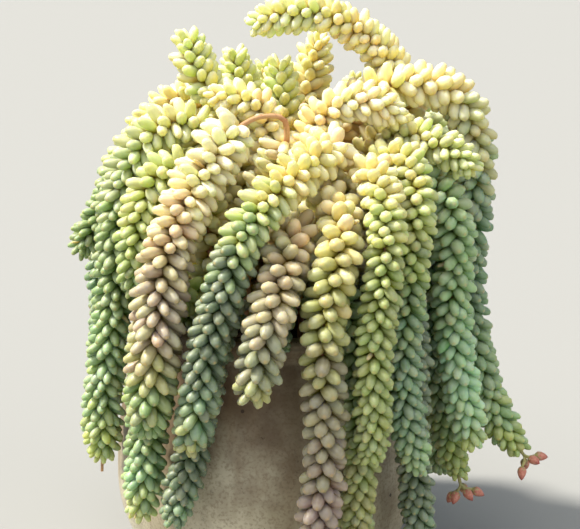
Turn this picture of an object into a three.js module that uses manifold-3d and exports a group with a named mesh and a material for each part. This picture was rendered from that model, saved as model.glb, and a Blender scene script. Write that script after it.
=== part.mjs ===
// A burro's tail in a round-bellied pot: leafy stems rise out of the soil, arch over the rim and
// hang down around the pot. Millimetres, +Z up, origin in the middle of the pot's foot.
import * as THREE from 'three';
import { mergeVertices } from 'three/addons/utils/BufferGeometryUtils.js';
import Module from 'manifold-3d';

const manifold = await Module();
manifold.setup();

// The pot: a foot, a round belly, a long shoulder and a plain lip.
const POT_HEIGHT = 228;
const BELLY_RADIUS = 127;
const BELLY_HEIGHT = 84;
const BELLY_CURVE = 102;
const SHOULDER_CURVE = 380;
const LIP_RADIUS = 111;
const LIP_HEIGHT = 15;
const LIP_ROUND = 3;
const WALL = 8;
const FLOOR_THICKNESS = 10;
const POT_SIDES = 32;

// The soil nearly fills the pot and is heaped a little towards the middle.
const SOIL_EDGE_HEIGHT = 206;
const SOIL_HEAP = 8;
const SOIL_STEPS = 4;

// The heights at which the wall's section bends, outside and inside.
const LIP_BOTTOM = POT_HEIGHT - LIP_HEIGHT;
const OUTSIDE_HEIGHTS = [0, 14, 34, 58, BELLY_HEIGHT, 120, 155, 188, LIP_BOTTOM];
const INSIDE_HEIGHTS = [FLOOR_THICKNESS, 34, BELLY_HEIGHT, 155, LIP_BOTTOM];

// The stems stand in plain holes, and every piece keeps this gap to its neighbour.
const GAP = 0.3;
const SAME_PLACE = 1e-4;
const HOLE_DEPTH = 14;
const STEM_RADIUS = 3.6;
const STEM_SIDES = 5;
const STEM_STEP = 2;

// The leaves are raised from the tail's surface in rings, each turned by half a leaf from the last.
const LEAVES_IN_RING = 5;
const RING_PITCH = 18;
const VALLEY = 0.62;
const LEAF_LEAN = 0.6;
const TIP_TAPER = 28;
const TAPER_POWER = 0.4;
const COLLAR = [0.6, 0.9];

// Settling: crowded tails push each other apart until their leaves clear each other.
const SETTLE_PASSES = 160;
const EASE = 0.35;
const HOME_PULL = 0.015;
const CLEARANCE = 0.7;
const STEM_CLEARANCE = 7;
const RIM_CLEARANCE = 1;
const FIXED_POINTS = 2;

// Buds hang on thin stalks from the ends of two tails.
const BUD_SIDES = 5;
const STALK_RADIUS = 1.3;
const FOOT_RADIUS = 2;
const FOOT_LENGTH = 4;
const BUD_RADIUS = 3.9;
const STALK_LENGTH = 9;
const BUD_LENGTH = 12;
const BUD_SPREAD = 0.8;
const STALK_VARIES = 0.35;
const STALK_NARROWS = 0.8;
const BUD_WIDEST = 0.4;
const BUD_SHOULDER = { along: 0.75, radius: 0.7 };
const BUDS = [
  { name: 'right_buds_1', tail: 'right_tail_1', count: 4, turn: 0.3 },
  { name: 'right_buds_2', tail: 'right_tail_3', count: 5, turn: 1.1 },
];

const TINTS = {
  green: 0x8fae6d,
  lime: 0xb9c474,
  cream: 0xd9cf8f,
  peach: 0xb9a184,
  blue: 0x7d9c82,
  pink: 0xc98f7d,
  clay: 0xd0c8ae,
  soil: 0x4a3a2c,
};
const SHEEN = { leaf: 0.5, clay: 0.55, soil: 0.95 };

// One tail: its tint, how far its leaves reach from the stem, the length of stem that is bare, where
// it stands in the soil, and the places that it passes on its way over the rim and down.
const TAILS = [
  { name: 'left_tail_1', tint: 'green', reach: 18.5, bare: 130, root: [-50, -22],
    way: [[-35, -22, 330], [-50, -30, 385], [-76, -43, 381], [-96, -50, 358], [-110, -51, 326],
      [-118, -52, 250], [-130, -55, 178], [-133, -58, 116]] },
  { name: 'left_tail_2', tint: 'green', reach: 17, bare: 150, root: [-52, 12],
    way: [[-32, 20, 340], [-44, 28, 395], [-74, 34, 390], [-98, 38, 364], [-118, 36, 324],
      [-157, 26, 266]] },
  { name: 'left_tail_3', tint: 'blue', reach: 16, bare: 36, root: [-76, 8],
    way: [[-86, 10, 240], [-104, 14, 264], [-124, 18, 250], [-134, 20, 215], [-136, 24, 148]] },
  { name: 'left_tail_4', tint: 'lime', reach: 17, bare: 110, root: [-46, -42],
    way: [[-46, -50, 318], [-62, -58, 358], [-86, -68, 350], [-97, -80, 312], [-98, -86, 262]] },
  { name: 'crown_tail_1', tint: 'lime', reach: 18.5, bare: 120, root: [-34, 0],
    way: [[-24, -2, 330], [-42, 0, 388], [-58, 0, 416], [-67, 0, 448]] },
  { name: 'crown_tail_2', tint: 'lime', reach: 18.5, bare: 120, root: [-18, 20],
    way: [[-16, 24, 340], [-22, 28, 396], [-30, 28, 432]] },
  { name: 'crown_tail_3', tint: 'cream', reach: 18.5, bare: 120, root: [4, 14],
    way: [[8, 18, 340], [8, 20, 396], [6, 22, 430]] },
  { name: 'crown_tail_4', tint: 'cream', reach: 18, bare: 130, root: [26, 22],
    way: [[28, 40, 340], [34, 48, 400], [43, 52, 444]] },
  { name: 'crown_tail_5', tint: 'cream', reach: 17.5, bare: 110, root: [14, -16],
    way: [[24, -30, 330], [40, -40, 384], [63, -42, 400], [87, -42, 396], [108, -44, 386]] },
  { name: 'crown_tail_6', tint: 'cream', reach: 17, bare: 150, root: [-8, -14],
    way: [[6, -18, 340], [0, -24, 388], [-20, -24, 402], [-44, -22, 402]] },
  { name: 'crown_tail_7', tint: 'lime', reach: 15, bare: 110, root: [2, 40],
    way: [[0, 54, 330], [-2, 66, 390], [-4, 74, 422]] },
  { name: 'crown_tail_8', tint: 'lime', reach: 15, bare: 110, root: [-30, 42],
    way: [[-42, 52, 330], [-54, 62, 380], [-64, 70, 410]] },
  { name: 'crown_tail_9', tint: 'cream', reach: 15, bare: 100, root: [30, 48],
    way: [[50, 64, 330], [64, 76, 376], [74, 84, 406]] },
  { name: 'arch_tail', tint: 'cream', reach: 17.5, bare: 140, root: [66, 14],
    way: [[100, 24, 340], [112, 22, 390], [95, 15, 429], [69, 10, 454], [41, 5, 466], [12, 0, 465],
      [-12, -5, 457]] },
  { name: 'right_tail_1', tint: 'lime', reach: 18, bare: 150, root: [40, 2],
    way: [[54, 8, 340], [74, 8, 398], [100, 5, 412], [130, 2, 413], [155, 0, 400], [169, 0, 366],
      [170, 2, 320], [166, 4, 252], [176, -6, 183], [194, -16, 132], [212, -24, 108]] },
  { name: 'right_tail_2', tint: 'blue', reach: 17.5, bare: 90, root: [62, -16],
    way: [[100, -24, 310], [124, -34, 344], [144, -48, 330], [150, -54, 290], [148, -57, 247],
      [153, -60, 197], [167, -66, 128]] },
  { name: 'right_tail_3', tint: 'blue', reach: 15.5, bare: 54, root: [76, 0],
    way: [[92, -4, 266], [116, -12, 292], [134, -20, 276], [137, -24, 238], [139, -25, 180],
      [149, -30, 130], [160, -36, 88]] },
  { name: 'right_tail_4', tint: 'cream', reach: 17, bare: 120, root: [46, -16],
    way: [[70, -14, 330], [90, -16, 370], [116, -35, 368], [140, -48, 356], [158, -56, 342]] },
  { name: 'front_tail_1', tint: 'peach', reach: 20.5, bare: 234, root: [-16, -36],
    way: [[-4, -38, 320], [12, -41, 352], [24, -46, 374], [18, -51, 388], [-4, -57, 393],
      [-21, -68, 384], [-41, -92, 361], [-62, -119, 325], [-74, -138, 286],
      [-79, -148, 234], [-83, -150, 193], [-87, -151, 174]] },
  { name: 'front_tail_2', tint: 'green', reach: 17.5, bare: 36, root: [-58, -52],
    way: [[-60, -62, 242], [-66, -80, 262], [-78, -100, 258], [-86, -114, 228], [-89, -116, 180],
      [-93, -116, 130], [-96, -117, 88]] },
  { name: 'front_tail_3', tint: 'lime', reach: 17, bare: 140, root: [8, -38],
    way: [[38, -46, 330], [52, -60, 364], [33, -98, 358], [4, -131, 338], [-14, -147, 309],
      [-28, -154, 272], [-41, -156, 234], [-50, -157, 186], [-58, -157, 160]] },
  { name: 'front_tail_4', tint: 'blue', reach: 15.5, bare: 36, root: [-28, -70],
    way: [[-28, -80, 242], [-30, -98, 262], [-34, -120, 250], [-42, -132, 215], [-53, -134, 156],
      [-65, -136, 112], [-70, -136, 90]] },
  { name: 'front_tail_5', tint: 'peach', reach: 19, bare: 90, root: [12, -56],
    way: [[24, -70, 290], [32, -98, 316], [26, -134, 308], [14, -158, 280], [3, -168, 250],
      [-6, -173, 204]] },
  { name: 'front_tail_6', tint: 'peach', reach: 17.5, bare: 110, root: [28, -36],
    way: [[52, -50, 306], [64, -76, 334], [64, -112, 328], [52, -144, 300], [43, -157, 245],
      [45, -160, 180], [42, -163, 120], [37, -168, 60], [32, -184, 24], [26, -222, 19],
      [18, -252, 18]] },
  { name: 'front_tail_7', tint: 'lime', reach: 15.5, bare: 110, root: [46, -54],
    way: [[62, -62, 330], [70, -84, 358], [80, -122, 334], [83, -142, 296], [79, -151, 242],
      [79, -154, 180], [78, -156, 150]] },
  { name: 'front_tail_8', tint: 'green', reach: 15, bare: 36, root: [36, -72],
    way: [[42, -80, 242], [50, -94, 264], [62, -116, 254], [70, -128, 215], [74, -130, 150],
      [71, -132, 100], [67, -134, 40]] },
  { name: 'front_tail_9', tint: 'lime', reach: 15.5, bare: 100, root: [62, -36],
    way: [[84, -46, 330], [96, -62, 358], [110, -90, 342], [110, -105, 300], [106, -115, 235],
      [108, -121, 180], [118, -126, 130]] },
  { name: 'front_tail_10', tint: 'blue', reach: 15, bare: 36, root: [72, -38],
    way: [[82, -48, 244], [94, -66, 268], [106, -86, 256], [112, -98, 215], [114, -102, 144],
      [119, -106, 94], [124, -106, 34]] },
  { name: 'front_tail_11', tint: 'blue', reach: 15, bare: 36, root: [4, -78],
    way: [[4, -84, 242], [8, -100, 262], [10, -120, 250], [11, -126, 226]] },
  { name: 'back_tail_1', tint: 'green', reach: 16.5, bare: 36, root: [76, 22],
    way: [[84, 26, 242], [102, 32, 264], [126, 36, 250], [141, 36, 205], [147, 36, 130],
      [150, 36, 66]] },
  { name: 'back_tail_2', tint: 'lime', reach: 17, bare: 66, root: [50, 30],
    way: [[70, 46, 334], [98, 58, 374], [128, 66, 376], [150, 72, 344], [156, 78, 270],
      [157, 82, 190], [157, 84, 118]] },
  { name: 'back_tail_3', tint: 'lime', reach: 16, bare: 60, root: [54, 50],
    way: [[70, 62, 290], [92, 82, 318], [114, 102, 300], [124, 112, 250], [126, 114, 180],
      [128, 116, 90]] },
  { name: 'back_tail_4', tint: 'green', reach: 16.5, bare: 36, root: [46, 64],
    way: [[50, 76, 244], [60, 96, 264], [76, 118, 246], [82, 126, 200], [84, 127, 120],
      [85, 129, 42]] },
  { name: 'back_tail_5', tint: 'green', reach: 17, bare: 66, root: [18, 48],
    way: [[30, 70, 320], [42, 104, 348], [54, 140, 315], [58, 158, 260], [59, 162, 180],
      [60, 164, 108]] },
  { name: 'back_tail_6', tint: 'lime', reach: 16, bare: 60, root: [10, 62],
    way: [[16, 78, 290], [20, 112, 318], [23, 144, 300], [24, 160, 245], [24, 163, 160],
      [24, 165, 60]] },
  { name: 'back_tail_7', tint: 'blue', reach: 16.5, bare: 36, root: [-8, 78],
    way: [[-9, 88, 244], [-10, 110, 264], [-11, 134, 246], [-12, 147, 200], [-12, 150, 120],
      [-12, 152, 56]] },
  { name: 'back_tail_8', tint: 'green', reach: 17, bare: 66, root: [-14, 48],
    way: [[-24, 74, 326], [-38, 112, 350], [-52, 146, 314], [-58, 160, 250], [-59, 163, 150],
      [-60, 165, 78]] },
  { name: 'back_tail_9', tint: 'green', reach: 16, bare: 60, root: [-38, 58],
    way: [[-50, 72, 290], [-70, 102, 318], [-88, 126, 296], [-96, 138, 240], [-97, 140, 170],
      [-98, 142, 100]] },
  { name: 'back_tail_10', tint: 'lime', reach: 16.5, bare: 36, root: [-56, 52],
    way: [[-66, 62, 244], [-82, 76, 264], [-100, 92, 246], [-110, 100, 200], [-112, 102, 130],
      [-114, 104, 58]] },
  { name: 'back_tail_11', tint: 'green', reach: 17, bare: 66, root: [-52, 30],
    way: [[-68, 44, 330], [-98, 54, 362], [-126, 62, 330], [-140, 70, 262], [-143, 72, 190],
      [-143, 74, 112]] },
  { name: 'short_tail_1', tint: 'cream', reach: 15, bare: 60, root: [68, 40],
    way: [[84, 40, 262], [106, 46, 292], [126, 48, 298], [140, 50, 278]] },
  { name: 'short_tail_2', tint: 'lime', reach: 15, bare: 60, root: [34, 78],
    way: [[40, 82, 262], [50, 100, 290], [64, 122, 290], [72, 136, 268]] },
  { name: 'short_tail_3', tint: 'lime', reach: 15, bare: 60, root: [-26, 76],
    way: [[-30, 84, 262], [-36, 106, 296], [-42, 128, 296], [-46, 144, 272]] },
  { name: 'short_tail_4', tint: 'green', reach: 15, bare: 60, root: [-70, 34],
    way: [[-80, 38, 262], [-100, 46, 290], [-122, 52, 288], [-136, 56, 264]] },
  { name: 'short_tail_5', tint: 'lime', reach: 15, bare: 60, root: [-76, -14],
    way: [[-84, -12, 262], [-100, -10, 290], [-118, -6, 296]] },
];

function shoulderRadius(height) {
  const rise = height - BELLY_HEIGHT;
  return BELLY_RADIUS - SHOULDER_CURVE + Math.sqrt(SHOULDER_CURVE ** 2 - rise ** 2);
}

function bellyRadius(height) {
  const drop = BELLY_HEIGHT - height;
  return BELLY_RADIUS - BELLY_CURVE + Math.sqrt(BELLY_CURVE ** 2 - drop ** 2);
}

function potRadius(height) {
  if (height > LIP_BOTTOM) return LIP_RADIUS;
  return height > BELLY_HEIGHT ? shoulderRadius(height) : bellyRadius(Math.max(height, 0));
}

// The inside is straight between the heights at which it bends.
function insideRadius(height) {
  const above = INSIDE_HEIGHTS.findIndex((bend) => bend >= height);
  const high = INSIDE_HEIGHTS[Math.max(above, 1)];
  const low = INSIDE_HEIGHTS[Math.max(above, 1) - 1];
  const share = (height - low) / (high - low);
  return (1 - share) * potRadius(low) + share * potRadius(high) - WALL;
}

function turned(profile) {
  const geometry = new THREE.LatheGeometry(profile, POT_SIDES);
  geometry.rotateX(Math.PI / 2);
  return geometry;
}

function potGeometry() {
  const mouth = insideRadius(LIP_BOTTOM);
  const profile = [
    new THREE.Vector2(0, 0),
    ...OUTSIDE_HEIGHTS.map((height) => new THREE.Vector2(potRadius(height), height)),
    new THREE.Vector2(LIP_RADIUS - LIP_ROUND, LIP_BOTTOM),
    new THREE.Vector2(LIP_RADIUS, LIP_BOTTOM + LIP_ROUND),
    new THREE.Vector2(LIP_RADIUS, POT_HEIGHT - LIP_ROUND),
    new THREE.Vector2(LIP_RADIUS - LIP_ROUND, POT_HEIGHT),
    new THREE.Vector2(mouth + LIP_ROUND, POT_HEIGHT),
    new THREE.Vector2(mouth, POT_HEIGHT - LIP_ROUND),
    ...[...INSIDE_HEIGHTS].reverse().map((height) => new THREE.Vector2(potRadius(height) - WALL, height)),
    new THREE.Vector2(0, FLOOR_THICKNESS),
  ];
  return turned(profile);
}

function soilHeight(distance) {
  const edge = insideRadius(SOIL_EDGE_HEIGHT);
  return SOIL_EDGE_HEIGHT + SOIL_HEAP * (1 - (distance / edge) ** 2);
}

function soilBody() {
  const edge = insideRadius(SOIL_EDGE_HEIGHT) - GAP;
  const profile = [
    new THREE.Vector2(0, FLOOR_THICKNESS + GAP),
    new THREE.Vector2(insideRadius(FLOOR_THICKNESS + GAP) - GAP, FLOOR_THICKNESS + GAP),
    ...INSIDE_HEIGHTS.slice(1, -1).map((height) => new THREE.Vector2(insideRadius(height) - GAP, height)),
  ];
  for (let step = SOIL_STEPS; step >= 0; step -= 1) {
    const distance = edge * step / SOIL_STEPS;
    profile.push(new THREE.Vector2(distance, soilHeight(distance)));
  }
  return turned(profile);
}

function toSolid(geometry) {
  const bare = geometry.clone();
  bare.deleteAttribute('normal');
  bare.deleteAttribute('uv');
  const merged = mergeVertices(bare, SAME_PLACE);
  return new manifold.Manifold(new manifold.Mesh({
    numProp: 3,
    vertProperties: new Float32Array(merged.attributes.position.array),
    triVerts: new Uint32Array(merged.index.array),
  }));
}

function toGeometry(solid) {
  const mesh = solid.getMesh();
  const geometry = new THREE.BufferGeometry();
  geometry.setAttribute('position', new THREE.BufferAttribute(mesh.vertProperties, 3));
  geometry.setIndex(new THREE.BufferAttribute(mesh.triVerts, 1));
  return geometry;
}

function rootPoint(tail) {
  const [x, y] = tail.root;
  return new THREE.Vector3(x, y, soilHeight(Math.hypot(x, y)) - HOLE_DEPTH + GAP);
}

// A hole is a little wider than the stem in it, and has the same number of sides.
function holeGeometry(tail) {
  const radius = STEM_RADIUS + GAP / Math.cos(Math.PI / STEM_SIDES);
  const outline = new THREE.Shape();
  for (let side = 0; side < STEM_SIDES; side += 1) {
    const angle = 2 * Math.PI * side / STEM_SIDES;
    const corner = [radius * Math.cos(angle), radius * Math.sin(angle)];
    if (side === 0) outline.moveTo(...corner);
    else outline.lineTo(...corner);
  }
  const hole = new THREE.ExtrudeGeometry(outline, { depth: 2 * HOLE_DEPTH, bevelEnabled: false });
  const foot = rootPoint(tail);
  hole.translate(foot.x, foot.y, foot.z - GAP);
  return hole;
}

function soilGeometry() {
  let soil = toSolid(soilBody());
  for (const tail of TAILS) soil = soil.subtract(toSolid(holeGeometry(tail)));
  return toGeometry(soil);
}

// The stem starts straight up out of its hole and then passes the places in the list.
function firstRoute(tail) {
  const foot = rootPoint(tail);
  const above = foot.clone().setZ(foot.z + FIXED_POINTS * RING_PITCH);
  const places = [foot, above, ...tail.way.map((place) => new THREE.Vector3(...place))];
  const curve = new THREE.CatmullRomCurve3(places, false, 'centripetal');
  const rings = Math.round(curve.getLength() / RING_PITCH);
  const points = curve.getSpacedPoints(rings);
  for (let index = 0; index < FIXED_POINTS; index += 1) {
    points[index].set(foot.x, foot.y, foot.z + index * RING_PITCH);
  }
  return points;
}

function leafSize(tail, index, count) {
  const first = Math.round(tail.bare / RING_PITCH);
  if (index < first) return 0;
  const fromTip = (count - 1 - index) * RING_PITCH;
  const tip = Math.min(1, (fromTip / TIP_TAPER) ** TAPER_POWER);
  const collar = COLLAR[index - first] ?? 1;
  return Math.min(tip, collar);
}

// Every point of every tail, with the room that it needs around it.
function beadsOf(routes) {
  const beads = [];
  routes.forEach((route, owner) => {
    const tail = TAILS[owner];
    route.forEach((point, index) => {
      const size = leafSize(tail, index, route.length);
      const room = Math.max(size * tail.reach + CLEARANCE, STEM_CLEARANCE);
      beads.push({ owner, room, point, home: point.clone(), fixed: index < FIXED_POINTS });
    });
  });
  return beads;
}

function pushApart(beads) {
  const line = new THREE.Vector3();
  for (let a = 0; a < beads.length; a += 1) {
    for (let b = a + 1; b < beads.length; b += 1) {
      const one = beads[a];
      const other = beads[b];
      if (one.owner === other.owner) continue;
      const need = one.room + other.room;
      line.subVectors(other.point, one.point);
      const apart = line.length();
      if (apart >= need) continue;
      line.multiplyScalar((need - apart) / Math.max(apart, GAP) / 2);
      if (!one.fixed) one.point.sub(line);
      if (!other.fixed) other.point.add(line);
    }
  }
}

// A tail keeps clear of the pot's outside, passes over its lip, and lies on what the pot stands on.
function keepOffPot(bead) {
  const { point, room } = bead;
  const distance = Math.hypot(point.x, point.y);
  const mouth = insideRadius(LIP_BOTTOM);
  const nearest = THREE.MathUtils.clamp(distance, mouth, LIP_RADIUS);
  const overLip = new THREE.Vector2(distance - nearest, point.z - POT_HEIGHT);
  if (overLip.y > 0 && overLip.length() < room + RIM_CLEARANCE) {
    overLip.setLength(room + RIM_CLEARANCE);
    moveOut(point, distance, nearest + overLip.x);
    point.z = POT_HEIGHT + overLip.y;
  } else if (overLip.y <= 0 && distance > (mouth + LIP_RADIUS) / 2) {
    moveOut(point, distance, Math.max(distance, potRadius(point.z) + room));
  } else if (overLip.y <= 0) {
    moveOut(point, distance, Math.min(distance, mouth - room));
  }
  point.z = Math.max(point.z, room);
}

function moveOut(point, distance, wanted) {
  const scale = wanted / Math.max(distance, GAP);
  point.x *= scale;
  point.y *= scale;
}

// Neighbouring points of a tail share their shift, so that its bends stay smooth.
function easeShifts(beads) {
  const shifts = beads.map((bead) => bead.point.clone().sub(bead.home));
  beads.forEach((bead, place) => {
    if (bead.fixed) return;
    const before = shifts[place - 1];
    const last = !beads[place + 1] || beads[place + 1].owner !== bead.owner;
    const after = last ? before : shifts[place + 1];
    const shared = before.clone().add(after).multiplyScalar(0.5);
    const shift = shifts[place].clone().lerp(shared, EASE).multiplyScalar(1 - HOME_PULL);
    bead.point.copy(bead.home).add(shift);
  });
}

function settledRoutes() {
  const routes = TAILS.map(firstRoute);
  const beads = beadsOf(routes);
  for (let pass = 0; pass < SETTLE_PASSES; pass += 1) {
    easeShifts(beads);
    pushApart(beads);
    for (const bead of beads) if (!bead.fixed) keepOffPot(bead);
  }
  return routes;
}

// Directions at each point of a route: along it, and two across it that turn as little as they can.
function framesAlong(route) {
  const frames = [];
  let across = new THREE.Vector3(1, 0, 0);
  route.forEach((point, index) => {
    const before = route[Math.max(index - 1, 0)];
    const after = route[Math.min(index + 1, route.length - 1)];
    const along = after.clone().sub(before).normalize();
    across = across.clone().addScaledVector(along, -across.dot(along)).normalize();
    frames.push({ along, across, aside: along.clone().cross(across) });
  });
  return frames;
}

function ringPoint(centre, frame, angle, radius, lean) {
  return centre.clone()
    .addScaledVector(frame.across, radius * Math.cos(angle))
    .addScaledVector(frame.aside, radius * Math.sin(angle))
    .addScaledVector(frame.along, lean);
}

function stemRing(centre, frame) {
  const ring = [];
  for (let side = 0; side < STEM_SIDES; side += 1) {
    ring.push(ringPoint(centre, frame, 2 * Math.PI * side / STEM_SIDES, STEM_RADIUS, 0));
  }
  return ring;
}

// Every second corner of a ring is a leaf's tip, and leans towards the end of the tail.
function leafRing(tail, centre, frame, index, size) {
  const ring = [];
  for (let corner = 0; corner < 2 * LEAVES_IN_RING; corner += 1) {
    const raised = (corner + index) % 2 === 0;
    const radius = Math.max(tail.reach * size * (raised ? 1 : VALLEY), STEM_RADIUS);
    const lean = raised ? LEAF_LEAN * RING_PITCH * size : 0;
    ring.push(ringPoint(centre, frame, Math.PI * corner / LEAVES_IN_RING, radius, lean));
  }
  return ring;
}

// Two leafy rings are joined so that the crease runs along the valleys and each leaf has four faces.
function joinLeafRings(triangles, near, far, index) {
  const count = near.length;
  for (let corner = 0; corner < count; corner += 1) {
    const next = (corner + 1) % count;
    if ((corner + index) % 2 === 0) {
      triangles.push(near[corner], near[next], far[corner], near[next], far[next], far[corner]);
    } else {
      triangles.push(near[corner], near[next], far[next], near[corner], far[next], far[corner]);
    }
  }
}

function joinStemRings(triangles, near, far) {
  near.forEach((point, side) => {
    const next = (side + 1) % near.length;
    triangles.push(point, near[next], far[next], point, far[next], far[side]);
  });
}

// Where the stem meets the first leaves, each of its corners spreads into two.
function joinStemToLeaves(triangles, stem, leaves) {
  stem.forEach((point, side) => {
    const next = stem[(side + 1) % stem.length];
    const middle = leaves[2 * side + 1];
    const last = leaves[(2 * side + 2) % leaves.length];
    triangles.push(point, middle, leaves[2 * side], point, next, middle, next, last, middle);
  });
}

function tailGeometry(tail, route) {
  const frames = framesAlong(route);
  const triangles = [];
  const end = route.length - 1;
  let near = stemRing(route[0], frames[0]);
  for (let side = 1; side < STEM_SIDES - 1; side += 1) triangles.push(near[0], near[side + 1], near[side]);
  let leafy = false;
  for (let index = 1; index < end; index += 1) {
    const size = leafSize(tail, index, route.length);
    const nextIsBare = leafSize(tail, index + 1, route.length) === 0;
    if (size === 0 && index % STEM_STEP === 0 && nextIsBare) continue;
    const far = size > 0
      ? leafRing(tail, route[index], frames[index], index, size)
      : stemRing(route[index], frames[index]);
    if (size === 0) joinStemRings(triangles, near, far);
    else if (!leafy) joinStemToLeaves(triangles, near, far);
    else joinLeafRings(triangles, near, far, index - 1);
    leafy = size > 0;
    near = far;
  }
  near.forEach((point, corner) => triangles.push(point, near[(corner + 1) % near.length], route[end]));
  return new THREE.BufferGeometry().setFromPoints(triangles);
}

function pointed(corners) {
  const profile = corners.map((corner) => new THREE.Vector2(...corner));
  const geometry = new THREE.LatheGeometry(profile, BUD_SIDES);
  geometry.rotateX(Math.PI / 2);
  return geometry;
}

// One bud on its own stalk, standing along +Z from the top of the common stalk.
function budGeometry(length) {
  return pointed([
    [0, 0],
    [STALK_RADIUS, 0],
    [STALK_RADIUS * STALK_NARROWS, length],
    [BUD_RADIUS, length + BUD_LENGTH * BUD_WIDEST],
    [BUD_RADIUS * BUD_SHOULDER.radius, length + BUD_LENGTH * BUD_SHOULDER.along],
    [0, length + BUD_LENGTH],
  ]);
}

// A spray's common stalk goes on from the end of the tail, and its buds spread round that line.
function sprayGeometry(spray, route) {
  const end = route[route.length - 1];
  const along = end.clone().sub(route[route.length - 2]).normalize();
  const top = FOOT_LENGTH + STALK_RADIUS;
  let body = toSolid(pointed([[0, 0], [FOOT_RADIUS, 0], [STALK_RADIUS, FOOT_LENGTH], [0, top]]));
  for (let bud = 0; bud < spray.count; bud += 1) {
    const angle = spray.turn + 2 * Math.PI * bud / spray.count;
    const geometry = budGeometry(STALK_LENGTH * (1 + STALK_VARIES * Math.sin(2 * angle)));
    geometry.rotateX(BUD_SPREAD);
    geometry.rotateZ(angle);
    geometry.translate(0, 0, FOOT_LENGTH - STALK_RADIUS);
    body = body.add(toSolid(geometry));
  }
  const fused = toGeometry(body);
  fused.applyQuaternion(new THREE.Quaternion().setFromUnitVectors(new THREE.Vector3(0, 0, 1), along));
  const seat = end.clone().addScaledVector(along, GAP);
  fused.translate(seat.x, seat.y, seat.z);
  return fused;
}

function finish(colour, roughness) {
  return new THREE.MeshStandardMaterial({ color: colour, roughness, metalness: 0 });
}

function named(name, geometry, material) {
  const mesh = new THREE.Mesh(geometry, material);
  mesh.name = name;
  return mesh;
}

function makePlant() {
  const plant = new THREE.Group();
  plant.add(named('pot', potGeometry(), finish(TINTS.clay, SHEEN.clay)));
  plant.add(named('soil', soilGeometry(), finish(TINTS.soil, SHEEN.soil)));
  const routes = settledRoutes();
  TAILS.forEach((tail, owner) => {
    plant.add(named(tail.name, tailGeometry(tail, routes[owner]), finish(TINTS[tail.tint], SHEEN.leaf)));
  });
  for (const spray of BUDS) {
    const owner = TAILS.findIndex((tail) => tail.name === spray.tail);
    plant.add(named(spray.name, sprayGeometry(spray, routes[owner]), finish(TINTS.pink, SHEEN.leaf)));
  }
  return plant;
}

export default makePlant();
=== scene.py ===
# %% [markdown]
# # A burro's tail in a round-bellied pot
# Leafy stems, called tails here, rise out of the soil, arch over the rim and hang down round the
# pot. The frame already holds every piece at its real size as a coarse solid. This lesson grows
# the true leaves along those solids, turns a finer pot, and gives each surface its finish.

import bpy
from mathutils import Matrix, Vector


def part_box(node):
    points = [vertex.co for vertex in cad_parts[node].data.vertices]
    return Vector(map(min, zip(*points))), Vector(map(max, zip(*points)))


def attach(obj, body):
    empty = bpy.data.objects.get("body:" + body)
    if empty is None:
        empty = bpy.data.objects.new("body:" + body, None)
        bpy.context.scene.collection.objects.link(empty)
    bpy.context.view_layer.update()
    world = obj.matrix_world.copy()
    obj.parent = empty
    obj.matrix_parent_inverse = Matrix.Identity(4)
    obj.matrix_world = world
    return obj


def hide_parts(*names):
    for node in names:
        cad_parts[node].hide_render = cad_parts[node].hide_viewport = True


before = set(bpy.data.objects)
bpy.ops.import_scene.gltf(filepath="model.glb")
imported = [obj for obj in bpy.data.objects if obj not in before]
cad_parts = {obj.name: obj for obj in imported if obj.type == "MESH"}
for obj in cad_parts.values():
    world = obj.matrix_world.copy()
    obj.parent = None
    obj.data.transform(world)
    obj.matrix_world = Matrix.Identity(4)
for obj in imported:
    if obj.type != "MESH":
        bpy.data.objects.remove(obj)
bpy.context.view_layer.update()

# %% [markdown]
# ## A few helpers
# Blender's operators act on whatever is selected, and the frame's pieces arrive selected. So each
# step begins by selecting only its own object. Every piece ends at the origin, unturned and
# unscaled.

# %% Helpers for operators
import math

import bmesh
import bpy
import numpy as np
from mathutils import Vector


def only(*objects):
    """Selects just these objects and makes the first one active."""
    for other in bpy.context.selected_objects:
        other.select_set(False)
    for each in objects:
        each.select_set(True)
    bpy.context.view_layer.objects.active = objects[0]


def named(name):
    """Names the object that an operator has just made, and its mesh."""
    piece = bpy.context.active_object
    piece.name = name
    piece.data.name = name
    return piece


def settle(piece):
    """Moves a piece's place, turn and size into its mesh."""
    only(piece)
    bpy.ops.object.transform_apply(location=True, rotation=True, scale=True)
    return piece


def smooth(piece):
    """Shades the whole piece smoothly."""
    only(piece)
    bpy.ops.object.shade_smooth()
    return piece


bpy.ops.object.select_all(action="DESELECT")
print("nodes in the frame:", len(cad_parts))

# %% [markdown]
# ## The camera
# The photograph looks slightly down on the plant, with a long lens.

# %% Camera
LENS = 90.0
AIM = Vector((0.0195, 0.0, 0.262))
DISTANCE = 1.2
ELEVATION = math.radians(14)


def make_camera():
    bpy.ops.object.camera_add()
    camera = bpy.context.active_object
    camera.name = "camera"
    camera.data.lens = LENS
    back = Vector((0, -math.cos(ELEVATION), math.sin(ELEVATION)))
    camera.location = AIM + back * DISTANCE
    camera.rotation_euler = (math.pi / 2 - ELEVATION, 0, 0)
    bpy.context.scene.camera = camera


make_camera()
print("camera at", [round(place, 3) for place in bpy.context.scene.camera.location])

# %% [markdown]
# ## The light
# A narrow, warm key lamp on the upper left stands for the sun and casts clear shadows. A wide soft
# lamp from above, a weak cool one on the right and a pale sky open the shade. All lamps are far
# away, so they light the floor alike. A lamp's spread is in degrees.

# %% Lamps and sky
SKY_COLOUR = (0.8, 0.89, 1.0, 1)
SKY_STRENGTH = 0.48


def make_lamp(name, towards, spread, strength, colour):
    bpy.ops.object.light_add(type="SUN", location=Vector(towards) * 2)
    lamp = bpy.context.active_object
    lamp.name = name
    lamp.data.angle = math.radians(spread)
    lamp.data.energy = strength
    lamp.data.color = colour
    lamp.rotation_euler = (-Vector(towards)).to_track_quat("-Z", "Y").to_euler()


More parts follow.
